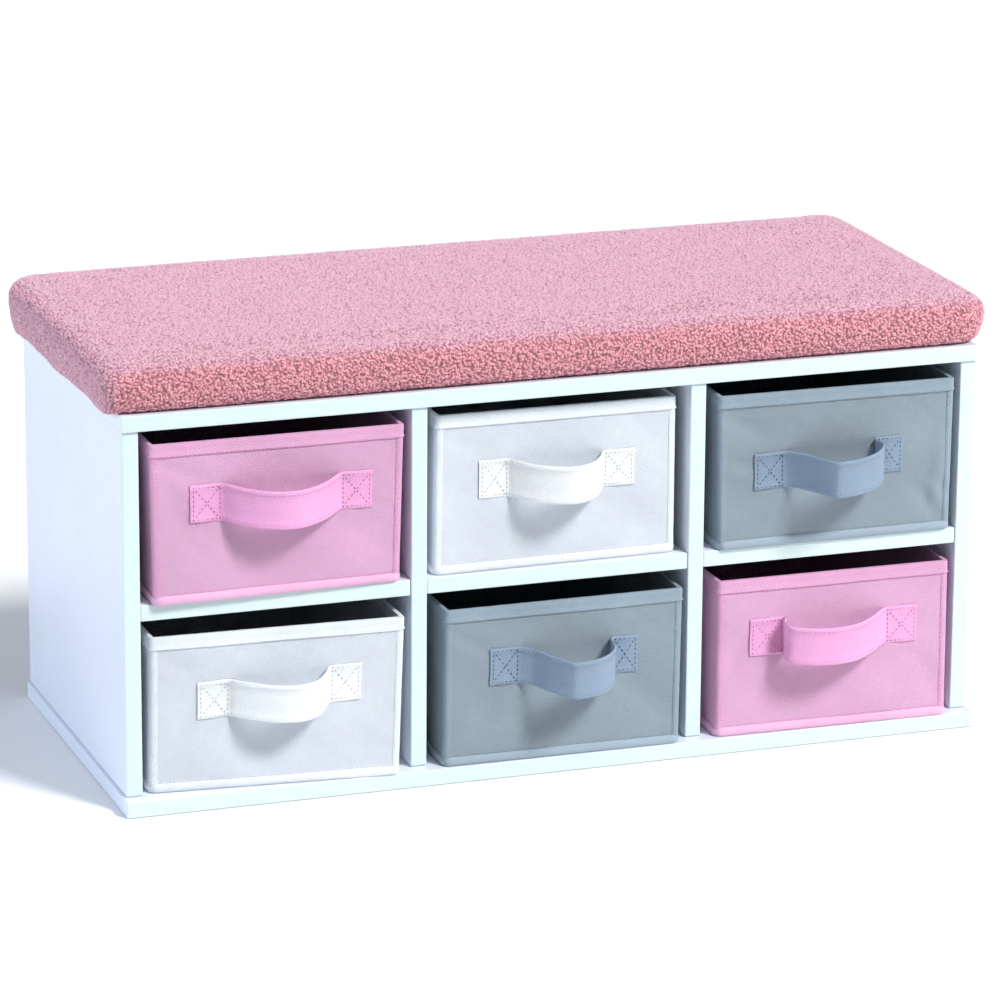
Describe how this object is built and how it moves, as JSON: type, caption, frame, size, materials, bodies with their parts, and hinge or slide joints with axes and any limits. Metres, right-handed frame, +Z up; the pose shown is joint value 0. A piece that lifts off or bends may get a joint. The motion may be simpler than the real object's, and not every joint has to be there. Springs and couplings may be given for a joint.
{
  "type": "toy storage bench",
  "caption": "Low white storage bench with open bays for pull-out fabric toy bins with strap handles, and a loose boucle seat cushion on top.",
  "frame": {"origin": "centre of the base panel's underside, on the floor", "axes": "+X along the bench to the right seen from the front, +Y to the back, +Z up; the bins pull out towards -Y"},
  "size_m": [0.844, 0.4107, 0.4162],
  "materials": {
    "white_laminate": "satin",
    "white_hardboard": "matte",
    "beech_dowel": "matte",
    "zinc_screw": "satin",
    "boucle_pink": "matte",
    "foam": "matte",
    "zip_tape": "matte",
    "zip_metal": "satin",
    "hook_pad": "matte",
    "grey_card": "matte",
    "fabric_pink": "matte",
    "fabric_white": "matte",
    "fabric_grey": "matte"
  },
  "bodies": {
    "carcass": {"base_panel": "white_laminate", "left_side_panel": "white_laminate", "left_divider": "white_laminate", "right_divider": "white_laminate", "right_side_panel": "white_laminate", "top_panel": "white_laminate", "left_shelf": "white_laminate", "centre_shelf": "white_laminate", "right_shelf": "white_laminate", "back_panel": "white_hardboard", "left_side_shelf_dowel_front": "beech_dowel", "left_side_shelf_dowel_back": "beech_dowel", "left_divider_shelf_dowel_front": "beech_dowel", "left_divider_shelf_dowel_back": "beech_dowel", "right_divider_shelf_dowel_front": "beech_dowel", "right_divider_shelf_dowel_back": "beech_dowel", "right_side_shelf_dowel_front": "beech_dowel", "right_side_shelf_dowel_back": "beech_dowel", "left_side_top_dowel_front": "beech_dowel", "left_side_top_dowel_back": "beech_dowel", "left_divider_top_dowel_front": "beech_dowel", "left_divider_top_dowel_back": "beech_dowel", "right_divider_top_dowel_front": "beech_dowel", "right_divider_top_dowel_back": "beech_dowel", "right_side_top_dowel_front": "beech_dowel", "right_side_top_dowel_back": "beech_dowel", "left_side_base_screw_front": "zinc_screw", "left_side_base_screw_back": "zinc_screw", "left_divider_base_screw_front": "zinc_screw", "left_divider_base_screw_back": "zinc_screw", "right_divider_base_screw_front": "zinc_screw", "right_divider_base_screw_back": "zinc_screw", "right_side_base_screw_front": "zinc_screw", "right_side_base_screw_back": "zinc_screw"},
    "cushion": {"cushion_cover": "boucle_pink", "foam_core": "foam", "cushion_zip": "zip_tape", "front_left_hook_pad": "hook_pad", "front_right_hook_pad": "hook_pad", "back_left_hook_pad": "hook_pad", "back_right_hook_pad": "hook_pad"},
    "zip_slider": {"zip_slider": "zip_metal"},
    "upper_left_bin": {"upper_left_bin_shell": "fabric_pink", "upper_left_bin_handle": "fabric_pink"},
    "upper_left_bin_base_board": {"upper_left_bin_base_board": "grey_card"},
    "upper_centre_bin": {"upper_centre_bin_shell": "fabric_white", "upper_centre_bin_handle": "fabric_white"},
    "upper_centre_bin_base_board": {"upper_centre_bin_base_board": "grey_card"},
    "upper_right_bin": {"upper_right_bin_shell": "fabric_grey", "upper_right_bin_handle": "fabric_grey"},
    "upper_right_bin_base_board": {"upper_right_bin_base_board": "grey_card"},
    "lower_left_bin": {"lower_left_bin_shell": "fabric_white", "lower_left_bin_handle": "fabric_white"},
    "lower_left_bin_base_board": {"lower_left_bin_base_board": "grey_card"},
    "lower_centre_bin": {"lower_centre_bin_shell": "fabric_grey", "lower_centre_bin_handle": "fabric_grey"},
    "lower_centre_bin_base_board": {"lower_centre_bin_base_board": "grey_card"},
    "lower_right_bin": {"lower_right_bin_shell": "fabric_pink", "lower_right_bin_handle": "fabric_pink"},
    "lower_right_bin_base_board": {"lower_right_bin_base_board": "grey_card"}
  },
  "joints": [
    {"name": "cushion_lift", "type": "slide", "parent": "carcass", "child": "cushion", "axis": [0, 0, 1], "range_m": [0, 0.12]},
    {"name": "zip_slide", "type": "slide", "parent": "cushion", "child": "zip_slider", "axis": [1, 0, 0], "range_m": [0, 0.688]},
    {"name": "upper_left_bin_slide", "type": "slide", "parent": "carcass", "child": "upper_left_bin", "axis": [0, -1, 0], "range_m": [-0.0168, 0.325]},
    {"name": "upper_left_bin_base_board_lift", "type": "slide", "parent": "upper_left_bin", "child": "upper_left_bin_base_board", "axis": [0, 0, 1], "range_m": [0, 0.14]},
    {"name": "upper_centre_bin_slide", "type": "slide", "parent": "carcass", "child": "upper_centre_bin", "axis": [0, -1, 0], "range_m": [-0.0048, 0.325]},
    {"name": "upper_centre_bin_base_board_lift", "type": "slide", "parent": "upper_centre_bin", "child": "upper_centre_bin_base_board", "axis": [0, 0, 1], "range_m": [0, 0.14]},
    {"name": "upper_right_bin_slide", "type": "slide", "parent": "carcass", "child": "upper_right_bin", "axis": [0, -1, 0], "range_m": [-0.0178, 0.325]},
    {"name": "upper_right_bin_base_board_lift", "type": "slide", "parent": "upper_right_bin", "child": "upper_right_bin_base_board", "axis": [0, 0, 1], "range_m": [0, 0.14]},
    {"name": "lower_left_bin_slide", "type": "slide", "parent": "carcass", "child": "lower_left_bin", "axis": [0, -1, 0], "range_m": [-0.0128, 0.325]},
    {"name": "lower_left_bin_base_board_lift", "type": "slide", "parent": "lower_left_bin", "child": "lower_left_bin_base_board", "axis": [0, 0, 1], "range_m": [0, 0.14]},
    {"name": "lower_centre_bin_slide", "type": "slide", "parent": "carcass", "child": "lower_centre_bin", "axis": [0, -1, 0], "range_m": [-0.0218, 0.325]},
    {"name": "lower_centre_bin_base_board_lift", "type": "slide", "parent": "lower_centre_bin", "child": "lower_centre_bin_base_board", "axis": [0, 0, 1], "range_m": [0, 0.14]},
    {"name": "lower_right_bin_slide", "type": "slide", "parent": "carcass", "child": "lower_right_bin", "axis": [0, -1, 0], "range_m": [-0.0148, 0.325]},
    {"name": "lower_right_bin_base_board_lift", "type": "slide", "parent": "lower_right_bin", "child": "lower_right_bin_base_board", "axis": [0, 0, 1], "range_m": [0, 0.14]}
  ]
}
